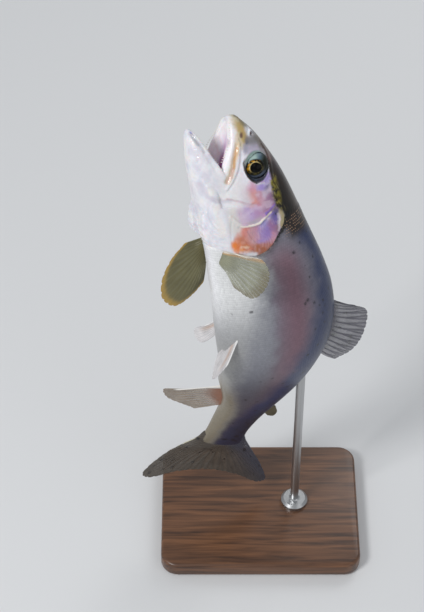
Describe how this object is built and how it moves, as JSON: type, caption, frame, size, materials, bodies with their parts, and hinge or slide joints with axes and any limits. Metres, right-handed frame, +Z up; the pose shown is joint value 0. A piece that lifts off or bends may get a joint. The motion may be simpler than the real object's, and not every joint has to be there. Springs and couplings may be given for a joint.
{
  "type": "rainbow trout model",
  "caption": "Life-size rainbow trout, head up with its mouth open and its body bent, held by a rod on a wooden display base.",
  "frame": {"origin": "middle of the underside of the stand's base", "axes": "+Z up; the fish stands head up with its belly and its anal fin towards -X, its back and dorsal fin towards +X, and its left flank towards -Y"},
  "size_m": [0.179, 0.124, 0.4143],
  "materials": {
    "skin": "wet, glossy",
    "mouth_lining": "wet, glossy",
    "eye": "clear gloss",
    "fin": "wet, translucent",
    "base_wood": "satin varnish",
    "rod_steel": "brushed"
  },
  "bodies": {
    "root": {"head": "skin", "lower_jaw": "skin", "tongue": "mouth_lining", "maxilla_left": "skin", "maxilla_right": "skin", "gill_cover_left": "skin", "gill_cover_right": "skin", "eye_left": "eye", "eye_right": "eye", "trunk": "skin", "tail": "skin", "dorsal_fin": "fin", "adipose_fin": "fin", "anal_fin": "fin", "caudal_fin": "fin", "pelvic_fin_left": "fin", "pelvic_fin_right": "fin", "pectoral_fin_left": "fin", "pectoral_fin_right": "fin", "stand_base": "base_wood", "stand_rod": "rod_steel"}
  },
  "joints": []
}
